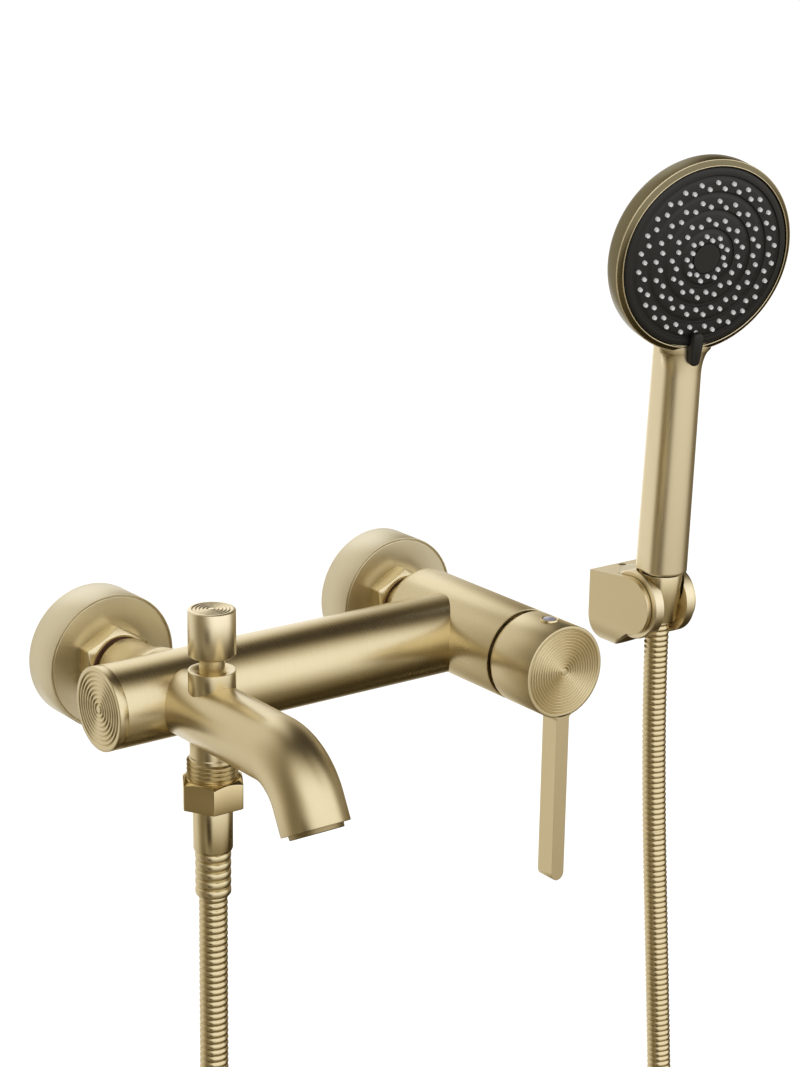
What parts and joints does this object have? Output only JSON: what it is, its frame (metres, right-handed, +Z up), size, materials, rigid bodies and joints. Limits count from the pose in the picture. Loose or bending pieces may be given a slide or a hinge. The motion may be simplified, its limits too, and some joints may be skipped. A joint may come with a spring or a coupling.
{
  "type": "bath mixer",
  "caption": "Wall-mounted bath mixer with a lever, a pull-up diverter and a curved spout, with a ribbed hose and a round hand shower in a tilting wall holder.",
  "frame": {"origin": "in the wall plane, midway between the two half-inch wall threads", "axes": "+X to the right along the wall, +Y into the wall, +Z up"},
  "size_m": [0.3785, 0.1986, 0.7742],
  "materials": {
    "brushed_gold": "brushed pale champagne gold finish",
    "rosette_gold": "satin pale champagne gold",
    "handset_gold": "plastic with a brushed champagne gold finish",
    "hose_gold": "ribbed metal in champagne gold",
    "steel": "plain steel",
    "raw_brass": "bare machined brass",
    "ceramic_cartridge": "moulded cartridge plastic",
    "black_plastic": "matte black",
    "grey_rubber": "soft rubber",
    "fibre": "fibre washer",
    "clear_plug": "clear domed plug"
  },
  "bodies": {
    "mixer": {"aerator_housing": "brushed_gold", "aerator_insert": "ceramic_cartridge", "cartridge_body": "ceramic_cartridge", "cartridge_nut": "raw_brass", "diverter_collar": "brushed_gold", "diverter_spring": "steel", "eccentric_union_left": "raw_brass", "eccentric_union_right": "raw_brass", "end_cap": "brushed_gold", "holder_base": "brushed_gold", "holder_grub_screw": "steel", "holder_pin_left": "steel", "holder_pin_right": "steel", "holder_wall_plate": "steel", "hose_bend_sleeve": "hose_gold", "hose_ferrule": "brushed_gold", "hose_hex_nut": "brushed_gold", "hose_main": "hose_gold", "housing_shroud": "brushed_gold", "inlet_washer_left": "fibre", "inlet_washer_right": "fibre", "mixer_body": "brushed_gold", "outlet_washer": "grey_rubber", "rosette_left": "rosette_gold", "rosette_right": "rosette_gold", "shower_outlet": "brushed_gold", "spout": "brushed_gold", "union_nut_left": "brushed_gold", "union_nut_right": "brushed_gold"},
    "spindle": {"cartridge_spindle": "ceramic_cartridge", "tilt_pin": "steel"},
    "lever": {"cartridge_stem": "raw_brass", "lever_handle": "brushed_gold", "lever_grub_screw": "steel", "indicator_plug": "clear_plug"},
    "diverter": {"diverter_knob": "brushed_gold", "diverter_stem": "steel", "diverter_valve_disc": "grey_rubber"},
    "fork": {"holder_fork": "handset_gold"},
    "handset": {"handset_shell": "handset_gold", "handset_trim_ring": "handset_gold", "handset_washer": "grey_rubber", "hose_cone_nut": "brushed_gold", "hose_upper": "hose_gold"},
    "selector": {"spray_face": "black_plastic", "spray_center_cap": "black_plastic"}
  },
  "joints": [
    {"name": "lever_temperature", "type": "hinge", "parent": "mixer", "child": "spindle", "pos_m": [0.075, -0.11, 0.0075], "axis": [0, 1, 0], "range_deg": [-45, 45]},
    {"name": "lever_flow", "type": "hinge", "parent": "spindle", "child": "lever", "pos_m": [0.075, -0.121, 0.0075], "axis": [-1, 0, 0], "range_deg": [0, 12]},
    {"name": "diverter_pull", "type": "slide", "parent": "mixer", "child": "diverter", "axis": [0, 0, 1], "range_m": [0, 0.006], "stiffness_N_per_m": 150, "springref_m": -0.008, "deforming": ["diverter_spring"]},
    {"name": "holder_tilt", "type": "hinge", "parent": "mixer", "child": "fork", "pos_m": [0.225, -0.0263, -0.0172], "axis": [1, 0, 0], "range_deg": [-8, 20]},
    {"name": "handset_lift", "type": "slide", "parent": "fork", "child": "handset", "axis": [0, -0.0401, 0.9992], "range_m": [0, 0.03]},
    {"name": "spray_selector", "type": "hinge", "parent": "handset", "child": "selector", "pos_m": [0.22163, -0.05621, 0.15704], "axis": [-0.1809, -0.9702, -0.1609], "range_deg": [-40, 40]}
  ]
}
